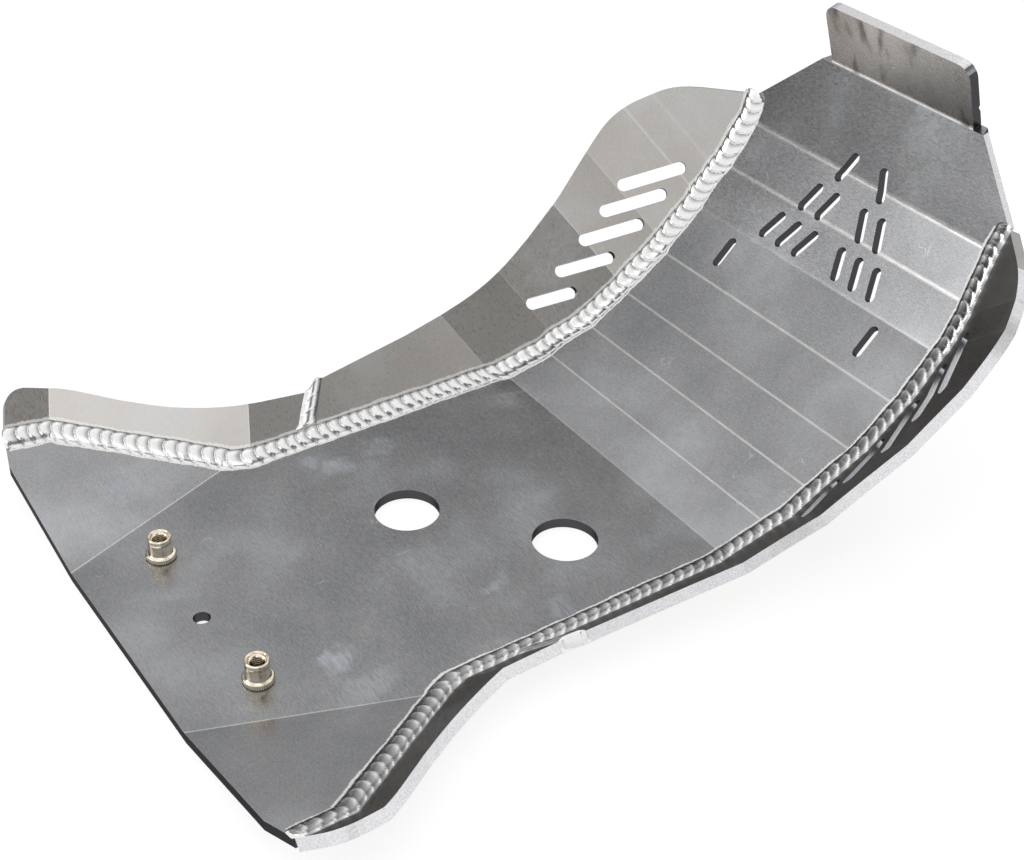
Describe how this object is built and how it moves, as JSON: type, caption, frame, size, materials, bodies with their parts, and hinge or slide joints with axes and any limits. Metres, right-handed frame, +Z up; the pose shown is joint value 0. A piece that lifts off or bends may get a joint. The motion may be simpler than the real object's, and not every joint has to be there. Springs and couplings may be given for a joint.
{
  "type": "motorcycle skid plate",
  "caption": "Folded and welded aluminium skid plate: flat floor, curved front with vent slots, flared side wings, drain holes and threaded inserts.",
  "frame": {"origin": "centre of the flat floor's underside, the face that the plate rests on", "axes": "+X towards the curved front, +Y to the left side, +Z up"},
  "size_m": [0.3941, 0.303, 0.1778],
  "materials": {
    "floor_sheet": "mill finish rolled aluminium sheet with fine grain, light scratches and smudges",
    "wing_sheet": "mill finish aluminium sheet, bright sawn-looking edges",
    "weld_bead": "bright rippled weld bead",
    "insert": "pale gold plated threaded insert"
  },
  "bodies": {
    "root": {"center_plate": "floor_sheet", "front_wing_left": "wing_sheet", "front_wing_right": "wing_sheet", "rear_wing_left": "wing_sheet", "rear_wing_right": "wing_sheet", "seam_weld_left": "weld_bead", "seam_weld_right": "weld_bead", "butt_weld_left": "weld_bead", "butt_weld_right": "weld_bead", "rivet_nut_left": "insert", "rivet_nut_right": "insert"}
  },
  "joints": []
}
